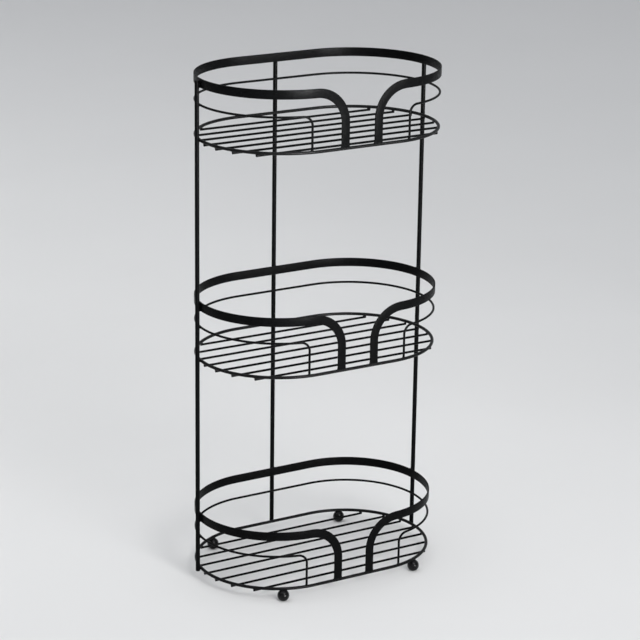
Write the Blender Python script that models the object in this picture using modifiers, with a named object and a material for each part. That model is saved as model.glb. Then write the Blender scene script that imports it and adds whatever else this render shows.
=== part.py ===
"""Free-standing storage rack: three oval wire baskets on three upright posts and four ball feet.

Units are metres and +Z is up. The baskets' long axis lies along X and their open fronts face -Y.
Every basket is a closed base ring with grid wires welded under it, a thin mid wire and a flat rim
band. Both bend down at the front and stand on the base ring, which leaves a gap to reach through.
"""

import math

import bmesh
import bpy
from mathutils import Vector

OBJECT_NAME = "three_tier_wire_rack"
TIER_NAMES = ("lower", "middle", "upper")

# Plan of a basket, on the centreline of its base ring: two straights joined by two half circles.
STRAIGHT_HALF = 0.063
END_RADIUS = 0.117

# Heights. The basket's own heights count from the centreline of its base ring.
TIER_PITCH = 0.320
MID_WIRE_HEIGHT = 0.050
BAND_HEIGHT = 0.0811

# Stock.
RING_RADIUS = 0.0024
WIRE_RADIUS = 0.00165
POST_RADIUS = 0.0032
BAND_WIDTH = 0.013
BAND_THICKNESS = 0.002
BAND_EDGE_RADIUS = 0.0004
WELD_GAP = 0.0003

# Grid under each base ring. Its wires end a little past the middle of the ring.
GRID_WIRES = 7
GRID_PITCH = 0.0286
GRID_CENTRE_Y = 0.0025
GRID_END_REACH = 0.0008

# Front ends of the mid wire and the band: where they stand, and the radius that they bend with.
MID_LEG_X = 0.078
MID_BEND_RADIUS = 0.013
BAND_LEG_X = 0.0265
BAND_BEND_RADIUS = 0.045

# Posts: the end posts stand a little behind the long axis, and the third one is at the back.
END_POST_Y = 0.0142
POST_TOP_BELOW_RIM = 0.003
POST_FOOT_BELOW_RING = 0.003

# Ball feet, welded under the lower ring's curved ends, with a small flat at the top and bottom.
FOOT_RADIUS = 0.0086
FOOT_FLAT_RADIUS = 0.0038
FOOT_ANGLE = math.radians(66.0)
FOOT_GAP = 0.0001

# Fineness of the round shapes.
ARC_STEPS = 24
BEND_STEPS = 8
THICK_WIRE_SIDES_RESOLUTION = 3
THIN_WIRE_SIDES_RESOLUTION = 2
FOOT_STEPS = 16
FOOT_ARC_STEPS = 8

# Worked out from the dimensions above.
FOOT_HALF_HEIGHT = math.sqrt(FOOT_RADIUS**2 - FOOT_FLAT_RADIUS**2)
LOWER_RING_Z = 2 * FOOT_HALF_HEIGHT + FOOT_GAP + RING_RADIUS
GRID_DROP = RING_RADIUS + WELD_GAP + WIRE_RADIUS
POST_OFFSET = RING_RADIUS + WELD_GAP + POST_RADIUS
MID_WIRE_OFFSET = RING_RADIUS - WIRE_RADIUS
BAND_OFFSET = RING_RADIUS - BAND_THICKNESS / 2
LEG_FOOT_HEIGHT = RING_RADIUS + WELD_GAP
FRONT_REACH = END_RADIUS + RING_RADIUS
BACK_REACH = END_RADIUS + POST_OFFSET + POST_RADIUS
PLAN_SHIFT_Y = (FRONT_REACH - BACK_REACH) / 2

COATING = (0.0075, 0.0078, 0.0080, 1.0)
FOOT_COATING = (0.0065, 0.0068, 0.0070, 1.0)


def clear_scene():
    for existing in list(bpy.data.objects):
        bpy.data.objects.remove(existing, do_unlink=True)


def part_collection():
    collection = bpy.data.collections.new(OBJECT_NAME)
    bpy.context.scene.collection.children.link(collection)
    return collection


def coated_metal(name, colour, roughness):
    material = bpy.data.materials.new(name)
    material.use_nodes = True
    shader = material.node_tree.nodes["Principled BSDF"]
    shader.inputs["Base Color"].default_value = colour
    shader.inputs["Roughness"].default_value = roughness
    shader.inputs["Metallic"].default_value = 0.0
    return material


def plan_point(offset, along):
    """The point this far along the oval from the front's middle towards +X, outside the ring by offset."""
    radius = END_RADIUS + offset
    half_turn = math.pi * radius
    if along <= STRAIGHT_HALF:
        return along, -radius
    if along <= STRAIGHT_HALF + half_turn:
        angle = (along - STRAIGHT_HALF) / radius
        return STRAIGHT_HALF + radius * math.sin(angle), -radius * math.cos(angle)
    return STRAIGHT_HALF - (along - STRAIGHT_HALF - half_turn), radius


def arc_stations(offset, start):
    """Distances along the oval at which its right end turns, from the first one past start."""
    radius = END_RADIUS + offset
    turns = (STRAIGHT_HALF + math.pi * radius * step / ARC_STEPS for step in range(ARC_STEPS + 1))
    return [along for along in turns if along > start + radius / ARC_STEPS]


def mirrored(points):
    """The points of a right half, and then those of the left half in the reverse order."""
    return points + [Vector((-point.x, point.y, point.z)) for point in reversed(points)]


def drop_stations(offset, leg, bend_radius, height):
    """Right half of a route that stands on the ring, bends over and runs round to the back.

    Each station is its distance along the oval, its height, and the slope of the route in radians:
    half pi while it stands and 0 once it is level.
    """
    stations = [(leg, LEG_FOOT_HEIGHT, math.pi / 2)]
    for step in range(BEND_STEPS + 1):
        turn = math.pi / 2 * step / BEND_STEPS
        along = leg + bend_radius * (1 - math.cos(turn))
        stations.append((along, height - bend_radius * (1 - math.sin(turn)), math.pi / 2 - turn))
    for along in arc_stations(offset, leg + bend_radius):
        stations.append((along, height, 0.0))
    return stations


def wire(name, points, radius, resolution, closed=False):
    """A round wire through the points."""
    curve = bpy.data.curves.new(name, "CURVE")
    curve.dimensions = "3D"
    curve.bevel_depth = radius
    curve.bevel_resolution = resolution
    curve.use_fill_caps = not closed
    spline = curve.splines.new("POLY")
    spline.points.add(len(points) - 1)
    for target, point in zip(spline.points, points):
        target.co = (*point, 1.0)
    spline.use_cyclic_u = closed
    spline.use_smooth = True
    return bpy.data.objects.new(name, curve)


def base_ring(name, ring_z):
    half = [Vector((*plan_point(0.0, along), ring_z)) for along in arc_stations(0.0, 0.0)]
    return wire(name, mirrored(half), RING_RADIUS, THICK_WIRE_SIDES_RESOLUTION, closed=True)


def grid_wire(name, ring_z, y):
    half_length = STRAIGHT_HALF + math.sqrt((END_RADIUS + GRID_END_REACH) ** 2 - y**2)
    ends = [Vector((x, y, ring_z - GRID_DROP)) for x in (-half_length, half_length)]
    return wire(name, ends, WIRE_RADIUS, THIN_WIRE_SIDES_RESOLUTION)


def mid_wire(name, ring_z):
    stations = drop_stations(MID_WIRE_OFFSET, MID_LEG_X, MID_BEND_RADIUS, MID_WIRE_HEIGHT)
    half = [
        Vector((*plan_point(MID_WIRE_OFFSET, along), ring_z + height))
        for along, height, _slope in stations
    ]
    return wire(name, mirrored(half), WIRE_RADIUS, THIN_WIRE_SIDES_RESOLUTION)


def band_edge(ring_z, side):
    """The points of one edge of the band, in the middle of its thickness. Side is 1 on its outer edge."""
    half = []
    for along, height, slope in drop_stations(BAND_OFFSET, BAND_LEG_X, BAND_BEND_RADIUS, BAND_HEIGHT):
        edge_along = along - side * BAND_WIDTH / 2 * math.sin(slope)
        edge_height = height + side * BAND_WIDTH / 2 * math.cos(slope)
        half.append(Vector((*plan_point(BAND_OFFSET, edge_along), ring_z + edge_height)))
    return mirrored(half)


def rim_band(name, ring_z):
    """A flat strip bent edgewise at its two front ends and rolled round the oval."""
    edges = {side: band_edge(ring_z, side) for side in (-1, 1)}
    last = len(edges[1]) - 1
    strip = bmesh.new()
    bmesh.ops.create_grid(strip, x_segments=last, y_segments=1, size=0.5)
    for vertex in strip.verts:
        side = 1 if vertex.co.y > 0 else -1
        vertex.co = edges[side][round((vertex.co.x + 0.5) * last)]
    mesh = bpy.data.meshes.new(name)
    strip.to_mesh(mesh)
    strip.free()
    mesh.shade_smooth()
    band = bpy.data.objects.new(name, mesh)
    thickness = band.modifiers.new("thickness", "SOLIDIFY")
    thickness.thickness = BAND_THICKNESS
    thickness.offset = 0.0
    thickness.use_even_offset = True
    edge = band.modifiers.new("rounded_edges", "BEVEL")
    edge.width = BAND_EDGE_RADIUS
    edge.segments = 1
    edge.limit_method = "ANGLE"
    edge.angle_limit = math.radians(40)
    edge.harden_normals = True
    return band


def post(name, x, y, top_ring_z):
    foot_z = LOWER_RING_Z - POST_FOOT_BELOW_RING
    top_z = top_ring_z + BAND_HEIGHT + BAND_WIDTH / 2 - POST_TOP_BELOW_RIM
    ends = [Vector((x, y, z)) for z in (foot_z, top_z)]
    return wire(name, ends, POST_RADIUS, THICK_WIRE_SIDES_RESOLUTION)


def ball_foot(name, x, y):
    """A ball turned about its vertical axis from half its outline, top to bottom."""
    tilt = math.asin(FOOT_FLAT_RADIUS / FOOT_RADIUS)
    outline = [Vector((0.0, 0.0, FOOT_HALF_HEIGHT))]
    for step in range(FOOT_ARC_STEPS + 1):
        polar = tilt + (math.pi - 2 * tilt) * step / FOOT_ARC_STEPS
        outline.append(Vector((FOOT_RADIUS * math.sin(polar), 0.0, FOOT_RADIUS * math.cos(polar))))
    outline.append(Vector((0.0, 0.0, -FOOT_HALF_HEIGHT)))
    mesh = bpy.data.meshes.new(name)
    mesh.from_pydata(outline, [(i, i + 1) for i in range(len(outline) - 1)], [])
    foot = bpy.data.objects.new(name, mesh)
    turn = foot.modifiers.new("turn", "SCREW")
    turn.steps = FOOT_STEPS
    turn.render_steps = FOOT_STEPS
    turn.use_merge_vertices = True
    turn.merge_threshold = 0.00001
    foot.location = (x, y, FOOT_HALF_HEIGHT)
    return foot


def basket(tier, ring_z):
    """The pieces of one basket, each with the kind of stock that it is made of."""
    yield base_ring(f"{tier}_base_ring", ring_z), "ring"
    for index in range(GRID_WIRES):
        y = GRID_CENTRE_Y + GRID_PITCH * (index - (GRID_WIRES - 1) / 2)
        yield grid_wire(f"{tier}_grid_wire_{index + 1}", ring_z, y), "wire"
    yield mid_wire(f"{tier}_mid_wire", ring_z), "wire"
    yield rim_band(f"{tier}_rim_band", ring_z), "band"


def posts(top_ring_z):
    reach = END_RADIUS + POST_OFFSET
    end_x = STRAIGHT_HALF + math.sqrt(reach**2 - END_POST_Y**2)
    yield post("left_post", -end_x, END_POST_Y, top_ring_z), "post"
    yield post("right_post", end_x, END_POST_Y, top_ring_z), "post"
    yield post("back_post", 0.0, reach, top_ring_z), "post"


def feet():
    x = STRAIGHT_HALF + END_RADIUS * math.cos(FOOT_ANGLE)
    y = END_RADIUS * math.sin(FOOT_ANGLE)
    for depth_name, depth in (("front", -y), ("back", y)):
        for side_name, side in (("left", -x), ("right", x)):
            yield ball_foot(f"{depth_name}_{side_name}_foot", side, depth), "foot"


def build():
    clear_scene()
    collection = part_collection()
    materials = {
        "ring": coated_metal("powder_coated_ring", COATING, 0.42),
        "wire": coated_metal("powder_coated_wire", COATING, 0.45),
        "band": coated_metal("powder_coated_band", COATING, 0.48),
        "post": coated_metal("powder_coated_post", COATING, 0.42),
        "foot": coated_metal("enamelled_foot", FOOT_COATING, 0.25),
    }
    origin = bpy.data.objects.new("rack_origin", None)
    origin.location = (0.0, PLAN_SHIFT_Y, 0.0)
    collection.objects.link(origin)
    ring_heights = [LOWER_RING_Z + TIER_PITCH * index for index in range(len(TIER_NAMES))]
    pieces = []
    for tier, ring_z in zip(TIER_NAMES, ring_heights):
        pieces.extend(basket(tier, ring_z))
    pieces.extend(posts(ring_heights[-1]))
    pieces.extend(feet())
    for piece, stock in pieces:
        piece.data.materials.append(materials[stock])
        piece.parent = origin
        collection.objects.link(piece)


build()
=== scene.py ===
# Looks of the three-tier wire rack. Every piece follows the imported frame: its plan, its heights and
# its stock come from the CAD nodes, in metres, with +Z up and the baskets' open fronts facing -Y.

import math

import bmesh
import bpy
import numpy as np
from mathutils import Matrix, Vector, noise


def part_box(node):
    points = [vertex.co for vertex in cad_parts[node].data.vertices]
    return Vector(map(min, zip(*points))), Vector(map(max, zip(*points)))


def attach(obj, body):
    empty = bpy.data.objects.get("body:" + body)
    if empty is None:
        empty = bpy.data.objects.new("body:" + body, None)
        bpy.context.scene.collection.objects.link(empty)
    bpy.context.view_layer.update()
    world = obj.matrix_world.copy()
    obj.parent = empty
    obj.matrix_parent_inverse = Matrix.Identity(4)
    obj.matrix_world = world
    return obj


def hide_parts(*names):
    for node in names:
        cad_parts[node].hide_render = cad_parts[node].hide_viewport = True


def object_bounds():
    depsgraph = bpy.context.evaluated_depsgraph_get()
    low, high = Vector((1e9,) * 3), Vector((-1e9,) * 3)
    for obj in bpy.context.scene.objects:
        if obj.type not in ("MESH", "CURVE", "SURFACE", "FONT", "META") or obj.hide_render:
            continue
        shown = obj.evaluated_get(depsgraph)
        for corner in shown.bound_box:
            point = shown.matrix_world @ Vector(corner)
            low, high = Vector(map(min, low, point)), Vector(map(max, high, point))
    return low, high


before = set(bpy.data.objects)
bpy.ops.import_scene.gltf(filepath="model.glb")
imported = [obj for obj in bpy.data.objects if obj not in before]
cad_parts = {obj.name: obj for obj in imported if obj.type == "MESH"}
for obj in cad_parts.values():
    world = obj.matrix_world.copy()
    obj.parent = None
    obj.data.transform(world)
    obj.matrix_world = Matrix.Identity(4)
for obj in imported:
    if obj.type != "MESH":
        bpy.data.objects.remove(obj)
cad_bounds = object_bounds()

TIERS = ("lower", "middle", "upper")
GRID_WIRES = 7
POSTS = ("left_post", "right_post", "back_post")
FEET = ("front_left_foot", "front_right_foot", "back_left_foot", "back_right_foot")

# Bends at the front of a basket, as the frame has them.
MID_BEND_RADIUS = 0.013
BAND_BEND_RADIUS = 0.045

# Finer shape than the frame's: rounded strip edges, softened cut ends and welded joints.
STRIP_CORNER = 0.0008
SMALLEST_CORNER = 0.0001
CUT_EDGE = 0.00045
FOOT_EDGE = 0.0007
FILLET = 0.0019
FILLET_SKIN = 0.00003
FILLET_VARIATION = 0.30
FILLET_NOISE_RATE = 1.7
FILLET_NOISE_STEP = (3.1, 1.7)

# Half sizes of the box that each kind of welded joint fills, round its contact.
GRID_JOINT = (0.0046, 0.0046, 0.0036)
WIRE_LEG_JOINT = (0.0040, 0.0044, 0.0040)
BAND_LEG_JOINT = (0.0094, 0.0044, 0.0040)
POST_JOINT_WIDE = 0.0054
POST_JOINT_TALL_AT_RING = 0.0050
POST_JOINT_TALL_AT_WIRE = 0.0044
POST_JOINT_TALL_AT_BAND = 0.0094
FOOT_JOINT = (0.0064, 0.0064, 0.0042)
LEG_SPAN = 0.02

# Fineness of the meshes. The leg slice is the height in which a leg's section is read, and the
# shortest arc is a share of a whole step.
ARC_STEPS = 84
BEND_STEPS = 22
ROUND_STEPS = 28
THIN_ROUND_STEPS = 24
CORNER_STEPS = 4
CUT_STEPS = 4
FOOT_STEPS = 56
QUARTER_STEPS = 18
ROD_SPAN = 0.02
LEG_SLICE = 0.002
SHORTEST_ARC_SHARE = 0.4
MARCH_STEPS = 48
HALVINGS = 14

UP = np.array((0.0, 0.0, 1.0))


# ---------------------------------------------------------------- what the frame says


def node_middle(node):
    low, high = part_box(node)
    return (low + high) / 2


def half_size(node):
    low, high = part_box(node)
    return (high - low) / 2


def leg_section(node):
    """Middle, half sizes and foot height of the right-hand leg of a bent piece."""
    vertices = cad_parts[node].data.vertices
    points = np.array([vertex.co[:] for vertex in vertices])
    foot = points[:, 2].min()
    standing = points[(points[:, 2] < foot + LEG_SLICE) & (points[:, 0] > 0)]
    low, high = standing.min(axis=0), standing.max(axis=0)
    return (low + high) / 2, (high - low) / 2, foot


ring_half = half_size("lower_base_ring")
RING_RADIUS = ring_half.z
END_RADIUS = ring_half.y - RING_RADIUS
STRAIGHT_HALF = ring_half.x - ring_half.y
CENTRE_Y = node_middle("lower_base_ring").y
WIRE_RADIUS = half_size("lower_grid_wire_1").z
POST_RADIUS = half_size("back_post").x
FOOT_RADIUS = half_size("front_left_foot").x


# ---------------------------------------------------------------- plan of a basket


def oval_distance(points):
    """Plan distance of the points from the base rings' centreline, positive outside it."""
    beyond = np.maximum(np.abs(points[..., 0]) - STRAIGHT_HALF, 0.0)
    return np.hypot(beyond, points[..., 1] - CENTRE_Y) - END_RADIUS


def plan_frame(offset, along):
    """Point and outward direction this far along the oval, from the front's middle towards +X."""
    radius = END_RADIUS + offset
    turn = math.pi * radius
    if along <= STRAIGHT_HALF:
        return np.array((along, CENTRE_Y - radius, 0.0)), np.array((0.0, -1.0, 0.0))
    if along <= STRAIGHT_HALF + turn:
        angle = (along - STRAIGHT_HALF) / radius
        out = np.array((math.sin(angle), -math.cos(angle), 0.0))
        return np.array((STRAIGHT_HALF, CENTRE_Y, 0.0)) + radius * out, out
    back = STRAIGHT_HALF - (along - STRAIGHT_HALF - turn)
    return np.array((back, CENTRE_Y + radius, 0.0)), np.array((0.0, 1.0, 0.0))


def along_at(x, offset):
    """How far along the oval's front the point at this x is."""
    if x <= STRAIGHT_HALF:
        return x
    radius = END_RADIUS + offset
    return STRAIGHT_HALF + radius * math.asin((x - STRAIGHT_HALF) / radius)


def arc_stations(offset, start):
    radius = END_RADIUS + offset
    turns = [STRAIGHT_HALF + math.pi * radius * i / ARC_STEPS for i in range(ARC_STEPS + 1)]
    least = SHORTEST_ARC_SHARE * radius * math.pi / ARC_STEPS
    return [along for along in turns if along > start + least]


def drop_route(offset, leg, bend, level):
    """Right half of a route that stands at leg, bends over and runs level to the back.

    Each station is its distance along the oval, its height and its slope. The foot isn't in it.
    """
    route = []
    for step in range(BEND_STEPS + 1):
        turn = math.pi / 2 * step / BEND_STEPS
        along = leg + bend * (1 - math.cos(turn))
        route.append((along, level - bend * (1 - math.sin(turn)), math.pi / 2 - turn))
    route.extend((along, level, 0.0) for along in arc_stations(offset, leg + bend))
    return route


# ---------------------------------------------------------------- mesh making


def outward(points, faces):
    """The faces, all turned round if the body they close is inside out."""
    corners = np.array(
        [(face[0], face[i], face[i + 1]) for face in faces for i in range(1, len(face) - 1)]
    )
    a, b, c = (points[corners[:, i]] for i in range(3))
    if np.einsum("ij,ij->i", a, np.cross(b, c)).sum() > 0:
        return faces
    return [face[::-1] for face in faces]


def loft(rings, closed=False):
    """Points and faces of the skin through rings of points. An open one ends in two fans."""
    rings = np.asarray(rings)
    count, around = rings.shape[:2]
    points = rings.reshape(-1, 3)
    faces = []
    for i in range(count if closed else count - 1):
        a, b = i * around, (i + 1) % count * around
        for j in range(around):
            k = (j + 1) % around
            faces.append((a + j, b + j, b + k, a + k))
    if not closed:
        last = (count - 1) * around
        tips = [rings[0].mean(axis=0), rings[-1].mean(axis=0)]
        tip = len(points)
        points = np.vstack([points, tips])
        for j in range(around):
            k = (j + 1) % around
            faces.append((tip, j, k))
            faces.append((tip + 1, last + k, last + j))
    return points, outward(points, faces)


def cut_end(edge):
    """(distance from the end, inset of the section) at each ring of a softened cut end."""
    turns = [math.pi / 2 * i / CUT_STEPS for i in range(CUT_STEPS + 1)]
    return [(edge * (1 - math.cos(turn)), edge * (1 - math.sin(turn))) for turn in turns]


def round_ring(middle, side, up, radius, count):
    turns = np.arange(count) * 2 * math.pi / count
    return middle + radius * (np.outer(np.cos(turns), side) + np.outer(np.sin(turns), up))


def straight_rod(a, b, radius, count):
    """A round rod from a to b with softened cut ends."""
    a, b = np.array(a), np.array(b)
    length = np.linalg.norm(b - a)
    axis = (b - a) / length
    side = np.array((1.0, 0.0, 0.0)) if abs(axis[2]) > 0.9 else np.cross(axis, UP)
    up = np.cross(axis, side)
    ends = cut_end(CUT_EDGE)
    rings = [round_ring(a + axis * step, side, up, radius - inset, count) for step, inset in ends]
    spans = max(2, int(length / ROD_SPAN))
    for i in range(1, spans):
        rings.append(round_ring(a + axis * length * i / spans, side, up, radius, count))
    for step, inset in reversed(ends):
        rings.append(round_ring(b - axis * step, side, up, radius - inset, count))
    return loft(rings)


def strip_section(half_width, half_thickness, inset=0.0):
    """A flat strip's section with well rounded edges, as (across, outwards) pairs."""
    corner = max(STRIP_CORNER - inset, SMALLEST_CORNER)
    wide, thick = half_width - inset - corner, half_thickness - inset - corner
    section = []
    for quarter, (across, out) in enumerate(((1, 1), (-1, 1), (-1, -1), (1, -1))):
        for step in range(CORNER_STEPS + 1):
            turn = math.pi / 2 * (quarter + step / CORNER_STEPS)
            edge = (corner * math.cos(turn), corner * math.sin(turn))
            section.append((across * wide + edge[0], out * thick + edge[1]))
    return section


def with_left_half(rings):
    """The rings of a right half, then those of the left half from the back to its front end."""
    flip = np.array((-1.0, 1.0, 1.0))
    return rings + [np.asarray(ring) * flip for ring in reversed(rings)]


# ---------------------------------------------------------------- rings, wires, strips, posts, feet


def base_ring(tier):
    height = UP * node_middle(f"{tier}_base_ring").z
    half = []
    for along in arc_stations(0.0, 0.0):
        middle, out = plan_frame(0.0, along)
        half.append(round_ring(middle + height, out, UP, RING_RADIUS, ROUND_STEPS))
    return loft(with_left_half(half), closed=True)


def grid_wire(node):
    low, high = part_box(node)
    middle = node_middle(node)
    ends = [(x, middle.y, middle.z) for x in (low.x, high.x)]
    return straight_rod(*ends, WIRE_RADIUS, THIN_ROUND_STEPS)


def mid_wire(tier):
    node = f"{tier}_mid_wire"
    leg, _half, foot = leg_section(node)
    offset = oval_distance(leg)
    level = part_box(node)[1].z - WIRE_RADIUS
    start = along_at(leg[0], offset)
    half = []
    middle, out = plan_frame(offset, start)
    for rise, inset in cut_end(CUT_EDGE):
        place = middle + UP * (foot + rise)
        radius = WIRE_RADIUS - inset
        half.append(round_ring(place, np.cross(UP, out), -out, radius, THIN_ROUND_STEPS))
    for along, z, slope in drop_route(offset, start, MID_BEND_RADIUS, level):
        middle, out = plan_frame(offset, along)
        across = np.cross(UP, out) * math.sin(slope) - UP * math.cos(slope)
        half.append(round_ring(middle + UP * z, across, -out, WIRE_RADIUS, THIN_ROUND_STEPS))
    return loft(with_left_half(half))


def strip_ring(offset, along, z, slope, section):
    ring = []
    for across, thick in section:
        point, out = plan_frame(offset, along - across * math.sin(slope))
        ring.append(point + out * thick + UP * (z + across * math.cos(slope)))
    return ring


def rim_band(tier):
    node = f"{tier}_rim_band"
    leg, half, foot = leg_section(node)
    offset = oval_distance(leg)
    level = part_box(node)[1].z - half[0]
    rings = []
    for rise, inset in cut_end(CUT_EDGE):
        section = strip_section(half[0], half[1], inset)
        rings.append(strip_ring(offset, leg[0], foot + rise, math.pi / 2, section))
    section = strip_section(half[0], half[1])
    for along, z, slope in drop_route(offset, leg[0], BAND_BEND_RADIUS, level):
        rings.append(strip_ring(offset, along, z, slope, section))
    return loft(with_left_half(rings))


def post(node):
    low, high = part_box(node)
    middle = node_middle(node)
    ends = [(middle.x, middle.y, z) for z in (low.z, high.z)]
    return straight_rod(*ends, POST_RADIUS, ROUND_STEPS)


def ball_foot(node):
    """A turned ball with a small flat at the top and bottom, each with a soft edge."""
    middle = np.array(node_middle(node))
    tall = half_size(node).z
    flat = math.sqrt(FOOT_RADIUS**2 - tall**2)
    start = math.asin((flat + FOOT_EDGE) / FOOT_RADIUS)
    corners = [(flat - FOOT_EDGE, tall), (flat, tall)]
    corners.append((FOOT_RADIUS * math.sin(start), FOOT_RADIUS * math.cos(start)))
    outline = []
    for step in range(CUT_STEPS):
        t = step / CUT_STEPS
        weights = ((1 - t) ** 2, 2 * t * (1 - t), t**2)
        outline.append(tuple(sum(w * c[i] for w, c in zip(weights, corners)) for i in (0, 1)))
    for step in range(QUARTER_STEPS + 1):
        turn = start + (math.pi / 2 - start) * step / QUARTER_STEPS
        outline.append((FOOT_RADIUS * math.sin(turn), FOOT_RADIUS * math.cos(turn)))
    outline = outline + [(radius, -z) for radius, z in reversed(outline[:-1])]
    side, ahead = np.eye(3)[0], np.eye(3)[1]
    return loft(
        [round_ring(middle + UP * z, side, ahead, radius, FOOT_STEPS) for radius, z in outline]
    )


# ---------------------------------------------------------------- welded joints
# Each joint is the part of two bodies near their contact, blended into each other over a fillet of
# weld and coating. Away from the contact its skin lies just under theirs.


def within(*sides):
    """Distance from the body that is inside every side."""
    outside = np.sqrt(sum(np.maximum(side, 0.0) ** 2 for side in sides))
    return outside + np.minimum(np.maximum.reduce(sides), 0.0)


def ring_field(z, radius, offset=0.0):
    return lambda p: np.hypot(oval_distance(p) - offset, p[:, 2] - z) - radius


def band_field(z, half_width, half_thickness, offset):
    return lambda p: within(
        np.abs(oval_distance(p) - offset) - half_thickness, np.abs(p[:, 2] - z) - half_width
    )


def rod_field(a, b, radius):
    a, b = np.array(a), np.array(b)
    length = np.linalg.norm(b - a)
    axis = (b - a) / length

    def distance(p):
        along = (p - a) @ axis
        away = np.linalg.norm(p - a - np.outer(along, axis), axis=1) - radius
        return within(away, np.abs(along - length / 2) - length / 2)

    return distance


def block_field(middle, half):
    middle, half = np.array(middle), np.array(half)
    return lambda p: within(*(np.abs(p - middle) - half).T)


def ball_field(middle, radius, tall):
    middle = np.array(middle)
    return lambda p: within(
        np.linalg.norm(p - middle, axis=1) - radius, np.abs(p[:, 2] - middle[2]) - tall
    )


def icosphere(detail):
    work = bmesh.new()
    bmesh.ops.create_icosphere(work, subdivisions=detail, radius=1.0)
    points = np.array([vertex.co[:] for vertex in work.verts])
    faces = [tuple(vertex.index for vertex in face.verts) for face in work.faces]
    work.free()
    return points, faces


SMALL, LARGE = icosphere(4), icosphere(5)


def joint(centre, reach, one, other, sphere, seed):
    """The blended body round centre, as far as reach on each axis.

    Its skin lies on one ray for every point of the sphere.
    """
    directions, faces = sphere
    rays = directions * np.array(reach)
    step_x, step_y = FILLET_NOISE_STEP
    shift = Vector((seed * step_x, seed * step_y, 0.0))
    wobble = np.array([noise.noise(Vector(d) * FILLET_NOISE_RATE + shift) for d in directions])
    fillet = FILLET * (1 + FILLET_VARIATION * wobble)
    centre = np.array(centre)

    def is_inside(share):
        p = centre + rays * share[:, None]
        a, b = one(p), other(p)
        blend = np.maximum(fillet - np.abs(a - b), 0.0) / fillet
        return np.minimum(a, b) - blend * blend * fillet / 4 + FILLET_SKIN < 0

    low = np.zeros(len(rays))
    going = np.ones(len(rays), bool)
    for step in range(1, MARCH_STEPS + 1):
        share = np.full(len(rays), step / MARCH_STEPS)
        going &= is_inside(share)
        low = np.where(going, share, low)
    high = np.minimum(low + 1 / MARCH_STEPS, 1.0)
    for _ in range(HALVINGS):
        half = (low + high) / 2
        inside = is_inside(half)
        low, high = np.where(inside, half, low), np.where(inside, high, half)
    return centre + rays * low[:, None], faces


def tier_joints(tier, seed):
    """Every welded joint of one basket."""
    ring_z = node_middle(f"{tier}_base_ring").z
    ring = ring_field(ring_z, RING_RADIUS)
    places = []
    for index in range(1, GRID_WIRES + 1):
        node = f"{tier}_grid_wire_{index}"
        low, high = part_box(node)
        middle = node_middle(node)
        wire = rod_field((low.x, middle.y, middle.z), (high.x, middle.y, middle.z), WIRE_RADIUS)
        contact_x = STRAIGHT_HALF + math.sqrt(END_RADIUS**2 - (middle.y - CENTRE_Y) ** 2)
        contact_z = (ring_z - RING_RADIUS + high.z) / 2
        for side in (-1, 1):
            contact = (side * contact_x, middle.y, contact_z)
            places.append((contact, GRID_JOINT, wire, ring, SMALL))

    leg, _half, foot = leg_section(f"{tier}_mid_wire")
    contact_z = (foot + ring_z + RING_RADIUS) / 2
    for side in (-1, 1):
        x = side * leg[0]
        wire = rod_field((x, leg[1], foot), (x, leg[1], foot + LEG_SPAN), WIRE_RADIUS)
        places.append(((x, leg[1], contact_z), WIRE_LEG_JOINT, wire, ring, SMALL))

    band_leg, band_half, band_foot = leg_section(f"{tier}_rim_band")
    for side in (-1, 1):
        x, y = side * band_leg[0], band_leg[1]
        half = (band_half[0], band_half[1], LEG_SPAN / 2)
        block = block_field((x, y, band_foot + LEG_SPAN / 2), half)
        places.append(((x, y, contact_z), BAND_LEG_JOINT, block, ring, LARGE))

    band_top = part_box(f"{tier}_rim_band")[1].z
    band_z = band_top - band_half[0]
    mid_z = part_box(f"{tier}_mid_wire")[1].z - WIRE_RADIUS
    band = band_field(band_z, band_half[0], band_half[1], oval_distance(band_leg))
    wire = ring_field(mid_z, WIRE_RADIUS, oval_distance(leg))
    for node in POSTS:
        low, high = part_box(node)
        middle = np.array(node_middle(node))
        rod = rod_field((*middle[:2], low.z), (*middle[:2], high.z), POST_RADIUS)
        corner = np.array((np.clip(middle[0], -STRAIGHT_HALF, STRAIGHT_HALF), CENTRE_Y))
        out = (middle[:2] - corner) / np.linalg.norm(middle[:2] - corner)
        gap = oval_distance(middle) - POST_RADIUS - RING_RADIUS
        contact = middle[:2] - out * (POST_RADIUS + gap / 2)
        band_middle = (band_top - 2 * band_half[0] + min(high.z, band_top)) / 2
        for z, tall, other, sphere in (
            (ring_z, POST_JOINT_TALL_AT_RING, ring, SMALL),
            (mid_z, POST_JOINT_TALL_AT_WIRE, wire, SMALL),
            (band_middle, POST_JOINT_TALL_AT_BAND, band, LARGE),
        ):
            reach = (POST_JOINT_WIDE, POST_JOINT_WIDE, tall)
            places.append(((*contact, z), reach, rod, other, sphere))
    return [joint(*place, seed + i) for i, place in enumerate(places)]


def foot_joints(seed):
    ring_z = node_middle("lower_base_ring").z
    ring = ring_field(ring_z, RING_RADIUS)
    made = []
    for index, node in enumerate(FEET):
        middle = node_middle(node)
        tall = half_size(node).z
        ball = ball_field(middle, FOOT_RADIUS, tall)
        place = (middle.x, middle.y, (middle.z + tall + ring_z - RING_RADIUS) / 2)
        made.append(joint(place, FOOT_JOINT, ball, ring, LARGE, seed + index))
    return made


def together(bodies):
    """One mesh from several closed bodies."""
    points, faces, base = [], [], 0
    for body_points, body_faces in bodies:
        points.append(body_points)
        faces.extend(tuple(base + i for i in face) for face in body_faces)
        base += len(body_points)
    return np.vstack(points), faces


# ---------------------------------------------------------------- finishes


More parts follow.
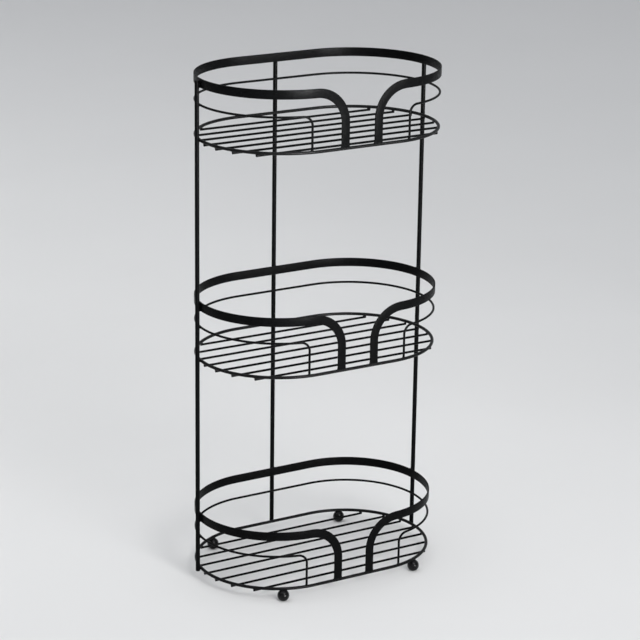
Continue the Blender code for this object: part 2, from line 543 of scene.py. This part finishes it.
class Graph:
    """Short calls for the nodes of one material."""

    def __init__(self, name):
        self.material = bpy.data.materials.new(name)
        self.material.use_nodes = True
        self.tree = self.material.node_tree
        self.shader = self.tree.nodes["Principled BSDF"]
        self.coords = self.add("ShaderNodeTexCoord").outputs["Object"]

    def add(self, kind, properties=None, **inputs):
        """A node with these properties, and values or links for its inputs.

        An input is named, or numbered as in _0.
        """
        made = self.tree.nodes.new(kind)
        for name, value in (properties or {}).items():
            setattr(made, name, value)
        for name, value in inputs.items():
            key = int(name[1:]) if name[0] == "_" else name.replace("_", " ")
            self.put(made.inputs[key], value)
        return made

    def put(self, socket, value):
        if isinstance(value, bpy.types.NodeSocket):
            self.tree.links.new(value, socket)
        else:
            socket.default_value = value

    def noise(self, size, detail=2.0, roughness=0.5, shift=(0.0, 0.0, 0.0)):
        """Noise with features of about this size in metres."""
        moved = self.add("ShaderNodeVectorMath", {"operation": "ADD"}, _0=self.coords, _1=shift)
        made = self.add("ShaderNodeTexNoise", Vector=moved.outputs[0], Scale=1 / size)
        self.put(made.inputs["Detail"], detail)
        self.put(made.inputs["Roughness"], roughness)
        return made.outputs["Fac"]

    def ranged(self, value, low, high, new_low, new_high):
        made = self.add("ShaderNodeMapRange", _0=value, _1=low, _2=high, _3=new_low, _4=new_high)
        return made.outputs["Result"]

    def maths(self, operation, a, b):
        return self.add("ShaderNodeMath", {"operation": operation}, _0=a, _1=b).outputs[0]

    def mixed(self, share, a, b):
        made = self.add("ShaderNodeMix", {"data_type": "RGBA"}, _0=share, _6=a, _7=b)
        return made.outputs[2]

    def bump(self, height, distance, normal=None):
        made = self.add("ShaderNodeBump", Strength=1.0, Distance=distance, Height=height)
        if normal is not None:
            self.put(made.inputs["Normal"], normal)
        return made.outputs["Normal"]


# The sizes of the coat's features, in metres.
PATCH_SIZE = 0.035
WAVE_SIZE = 0.0015
GRIT_SIZE = 0.0006
SPECK_SIZE = 0.0016

# How much they change the coat: its tone, in shares of itself, and its roughness.
DARK_SHARE, LIGHT_SHARE = 0.2, 3.0
# The lighter tone of the dust, which also serves as painted light from above on the upper sides.
DUST_AND_PAINTED_LIGHT_SHARE, DUST_AND_PAINTED_LIGHT_TONE = 2.0, 0.004
SPECK_STRENGTH = 0.35
PATCH_ROUGHNESS = 0.04
WAVE_ROUGHNESS = 0.13
DUST_ROUGHNESS = 0.08

# The part of each noise's range, or of the upward lean of a side, over which its effect grows.
PATCH_GLOSS_RISE = (0.3, 0.7)
WAVE_TONE_RISE = (0.40, 0.60)
WAVE_GLOSS_RISE = (0.38, 0.62)
SPECK_RISE = (0.62, 0.72)
# The patches on the upper sides are partly dust and partly painted light from above.
DUST_AND_PAINTED_LIGHT_PATCH_RISE = (0.35, 0.70)
DUST_AND_PAINTED_LIGHT_UPWARD_RISE = (0.35, 1.0)
DUST_AND_PAINTED_LIGHT_COVER = (0.10, 0.60)

SATIN_SPECULAR = 0.042


def powder_coat(name, tone, rough, peel, grain, specular=SATIN_SPECULAR):
    """Satin powder coat on steel. Its upper sides are lighter in patches, partly light dust and
    partly painted light from above.

    Peel and grain are the depths of its orange peel and its fine grain. Its gloss is patchy.
    """
    graph = Graph(name)
    inputs = graph.shader.inputs
    inputs["Specular IOR Level"].default_value = specular

    patches = graph.noise(PATCH_SIZE, 3.0)
    waves = graph.noise(WAVE_SIZE, 2.0, 0.5, (0.3, 0.1, 0.2))
    grit = graph.noise(GRIT_SIZE, 3.0, 0.65, (0.7, 0.4, 0.5))
    specks = graph.noise(SPECK_SIZE, 1.0, 0.4, (0.2, 0.9, 0.6))
    specks = graph.ranged(specks, *SPECK_RISE, 0.0, 1.0)

    normal = graph.add("ShaderNodeNewGeometry").outputs["Normal"]
    facing_up = graph.add("ShaderNodeSeparateXYZ", Vector=normal).outputs["Z"]
    # Upper sides lighter in patches: partly dust, partly painted light from above.
    upward_share = graph.ranged(facing_up, *DUST_AND_PAINTED_LIGHT_UPWARD_RISE, 0.0, 1.0)
    cover = graph.ranged(patches, *DUST_AND_PAINTED_LIGHT_PATCH_RISE, *DUST_AND_PAINTED_LIGHT_COVER)
    dust_and_painted_light = graph.maths("MULTIPLY", upward_share, cover)

    dark = tuple(c * DARK_SHARE for c in tone) + (1.0,)
    light = tuple(c * LIGHT_SHARE for c in tone) + (1.0,)
    dust_and_painted_light_tone = tuple(c * DUST_AND_PAINTED_LIGHT_SHARE + DUST_AND_PAINTED_LIGHT_TONE for c in tone) + (1.0,)
    colour = graph.mixed(graph.ranged(waves, *WAVE_TONE_RISE, 0.0, 1.0), dark, light)
    colour = graph.mixed(graph.maths("MULTIPLY", specks, SPECK_STRENGTH), colour, dust_and_painted_light_tone)
    graph.put(inputs["Base Color"], graph.mixed(dust_and_painted_light, colour, dust_and_painted_light_tone))

    least, most = rough - PATCH_ROUGHNESS, rough + PATCH_ROUGHNESS
    patchy = graph.ranged(patches, *PATCH_GLOSS_RISE, least, most)
    rippled = graph.ranged(waves, *WAVE_GLOSS_RISE, WAVE_ROUGHNESS, -WAVE_ROUGHNESS)
    duller = graph.maths("MULTIPLY", dust_and_painted_light, DUST_ROUGHNESS)
    graph.put(inputs["Roughness"], graph.maths("ADD", graph.maths("ADD", patchy, rippled), duller))
    graph.put(inputs["Normal"], graph.bump(grit, grain, graph.bump(waves, peel)))
    return graph.material


COAT_TONE = (0.0011, 0.0012, 0.0013)
# The rings carry the same coat as the rest, painted lighter as a sheen of light along them.
RING_TONE_WITH_PAINTED_SHEEN = (0.0018, 0.0019, 0.0020)
FOOT_TONE = (0.0014, 0.0015, 0.0016)

# Each coat's tone, roughness, and depths of peel and grain in metres.
COATS = {
    # The ring coat's lighter tone is painted sheen.
    "ring": powder_coat("ring_powder_coat", RING_TONE_WITH_PAINTED_SHEEN, 0.38, 0.00022, 0.00006, specular=0.12),
    "wire": powder_coat("wire_powder_coat", COAT_TONE, 0.40, 0.00018, 0.00006, specular=0.06),
    "band": powder_coat("band_powder_coat", COAT_TONE, 0.38, 0.00024, 0.00009),
    "post": powder_coat("post_powder_coat", COAT_TONE, 0.36, 0.00022, 0.00006),
    "foot": powder_coat("foot_enamel", FOOT_TONE, 0.17, 0.00005, 0.00002, specular=0.2),
    "joint": powder_coat("joint_powder_coat", COAT_TONE, 0.44, 0.00034, 0.00009, specular=0.08),
}


def add_piece(name, body, kind, *stands_for):
    """A closed body as a piece of the rack, in place of these CAD nodes."""
    points, faces = body
    mesh = bpy.data.meshes.new(name)
    mesh.from_pydata(points.tolist(), [], faces)
    mesh.shade_smooth()
    mesh.materials.append(COATS[kind])
    piece = bpy.data.objects.new(name, mesh)
    bpy.context.scene.collection.objects.link(piece)
    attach(piece, "root")
    if stands_for:
        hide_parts(*stands_for)


# ---------------------------------------------------------------- the rack

# Far enough apart that no two joints share a seed.
SEED_STEP = 100
FOOT_SEED = 900

for number, tier in enumerate(TIERS):
    add_piece(f"{tier}_base_ring_coated", base_ring(tier), "ring", f"{tier}_base_ring")
    for index in range(1, GRID_WIRES + 1):
        wire = f"{tier}_grid_wire_{index}"
        add_piece(f"{wire}_coated", grid_wire(wire), "wire", wire)
    add_piece(f"{tier}_mid_wire_coated", mid_wire(tier), "wire", f"{tier}_mid_wire")
    add_piece(f"{tier}_rim_band_coated", rim_band(tier), "band", f"{tier}_rim_band")
    add_piece(f"{tier}_welds", together(tier_joints(tier, SEED_STEP * number)), "joint")
for node in POSTS:
    add_piece(f"{node}_coated", post(node), "post", node)
for node in FEET:
    add_piece(f"{node}_coated", ball_foot(node), "foot", node)
add_piece("foot_welds", together(foot_joints(FOOT_SEED)), "joint")


# ---------------------------------------------------------------- floor, light, camera

low, high = cad_bounds
middle = (low + high) / 2

FLOOR_RINGS = (0.5, 2.0, 4.0)
FLOOR_RADIUS = 7.0
COVE_RADIUS = 2.0
WALL_TOP = 5.0
COVE_STEPS = 16
COVE_AROUND = 96
NEAR_RADIUS = 1.0
CLOUD_SIZE = 0.5
CLOUD_RISE = (0.3, 0.7)
NEAR_DARK = (0.78, 0.777, 0.77, 1.0)
NEAR_LIGHT = (0.82, 0.817, 0.81, 1.0)
FAR_FLOOR = (0.96, 0.96, 0.96, 1.0)
FLOOR_ROUGHNESS = (0.62, 0.72)
FLOOR_SPECULAR = 0.2


def studio_cove():
    """A round pale floor that curves up into a low wall all round."""
    outline = [(radius, 0.0) for radius in FLOOR_RINGS]
    for step in range(COVE_STEPS + 1):
        turn = math.pi / 2 * step / COVE_STEPS
        beyond, height = COVE_RADIUS * math.sin(turn), COVE_RADIUS * (1 - math.cos(turn))
        outline.append((FLOOR_RADIUS + beyond, height))
    outline.append((FLOOR_RADIUS + COVE_RADIUS, WALL_TOP))
    points = [(0.0, 0.0, 0.0)]
    for radius, z in outline:
        turns = [2 * math.pi * j / COVE_AROUND for j in range(COVE_AROUND)]
        points.extend((radius * math.cos(turn), radius * math.sin(turn), z) for turn in turns)
    faces = [(0, 1 + j, 1 + (j + 1) % COVE_AROUND) for j in range(COVE_AROUND)]
    for i in range(len(outline) - 1):
        a, b = 1 + i * COVE_AROUND, 1 + (i + 1) * COVE_AROUND
        for j in range(COVE_AROUND):
            k = (j + 1) % COVE_AROUND
            faces.append((a + j, b + j, b + k, a + k))
    mesh = bpy.data.meshes.new("studio_floor")
    mesh.from_pydata(points, [], faces)
    mesh.shade_smooth()
    made = bpy.data.objects.new("studio_floor", mesh)
    made.location = (middle.x, middle.y, low.z)
    bpy.context.scene.collection.objects.link(made)
    graph = Graph("pale_floor")
    inputs = graph.shader.inputs
    cloud = graph.noise(CLOUD_SIZE, 3.0)
    near = graph.mixed(cloud, NEAR_DARK, NEAR_LIGHT)
    away = graph.add("ShaderNodeVectorMath", {"operation": "LENGTH"}, _0=graph.coords)
    far_share = graph.ranged(away.outputs["Value"], NEAR_RADIUS, FLOOR_RADIUS, 0.0, 1.0)
    graph.put(inputs["Base Color"], graph.mixed(far_share, near, FAR_FLOOR))
    graph.put(inputs["Roughness"], graph.ranged(cloud, *CLOUD_RISE, *FLOOR_ROUGHNESS))
    inputs["Specular IOR Level"].default_value = FLOOR_SPECULAR
    mesh.materials.append(graph.material)


def softbox(name, place, size, power, spread=180.0, aim=0.0, tint=(1.0, 1.0, 1.0)):
    """A soft light at this place from the rack's middle, turned to a point aim above the middle.

    Power is in watts and spread in degrees.
    """
    light = bpy.data.lights.new(name, "AREA")
    light.shape = "RECTANGLE"
    light.size, light.size_y = size
    light.energy = power
    light.spread = math.radians(spread)
    light.color = tint
    made = bpy.data.objects.new(name, light)
    made.location = middle + Vector(place)
    ahead = Vector((0.0, 0.0, aim)) - Vector(place)
    made.rotation_euler = ahead.to_track_quat("-Z", "Y").to_euler()
    made.visible_camera = False
    bpy.context.scene.collection.objects.link(made)


SKY_COLOUR = (0.94, 0.96, 1.0, 1.0)


def sky(strength):
    made = bpy.data.worlds.new("studio")
    made.use_nodes = True
    background = made.node_tree.nodes["Background"]
    background.inputs["Color"].default_value = SKY_COLOUR
    background.inputs["Strength"].default_value = strength
    bpy.context.scene.world = made


# Where the camera stands, from the middle of the lower base ring, and how it is turned.
CAMERA_FROM_RING = (-1.6498, -2.77155, 1.3951)
CAMERA_YAW = math.radians(30.884)
CAMERA_PITCH = math.radians(17.837)
CAMERA_ROLL = math.radians(0.836)
CAMERA_LENS = 131.79
CAMERA_SENSOR = 36.0
CAMERA_CLIP = (0.05, 100.0)


def camera():
    data = bpy.data.cameras.new("photo_camera")
    data.lens = CAMERA_LENS
    data.sensor_width = CAMERA_SENSOR
    data.clip_start, data.clip_end = CAMERA_CLIP
    yaw_sine, yaw_cosine = math.sin(CAMERA_YAW), math.cos(CAMERA_YAW)
    level, down = math.cos(CAMERA_PITCH), math.sin(CAMERA_PITCH)
    ahead = Vector((yaw_sine * level, yaw_cosine * level, -down))
    right = Vector((yaw_cosine, -yaw_sine, 0.0))
    up = right.cross(ahead)
    rolled_right = math.cos(CAMERA_ROLL) * right + math.sin(CAMERA_ROLL) * up
    rolled_up = math.cos(CAMERA_ROLL) * up - math.sin(CAMERA_ROLL) * right
    turn = Matrix((rolled_right, rolled_up, -ahead)).transposed()
    place = node_middle("lower_base_ring") + Vector(CAMERA_FROM_RING)
    made = bpy.data.objects.new("photo_camera", data)
    made.matrix_world = Matrix.Translation(place) @ turn.to_4x4()
    bpy.context.scene.collection.objects.link(made)
    bpy.context.scene.camera = made


COOL_WHITE = (0.96, 0.98, 1.0)

studio_cove()
sky(0.38)
softbox("overhead_light", (-0.4, 0.4, 4.0), (6.0, 6.0), 110.0, tint=COOL_WHITE)
# In front and a little above the rack, with a narrow beam, for the highlight on the strips.
softbox("key_light", (0.5, -4.2, 0.5), (1.9, 1.0), 20.0, spread=28.0, aim=0.5)
softbox("front_light", (-0.1, -2.5, 2.0), (1.1, 1.1), 9.0, spread=90.0)
camera()
bpy.context.scene.view_settings.view_transform = "Standard"
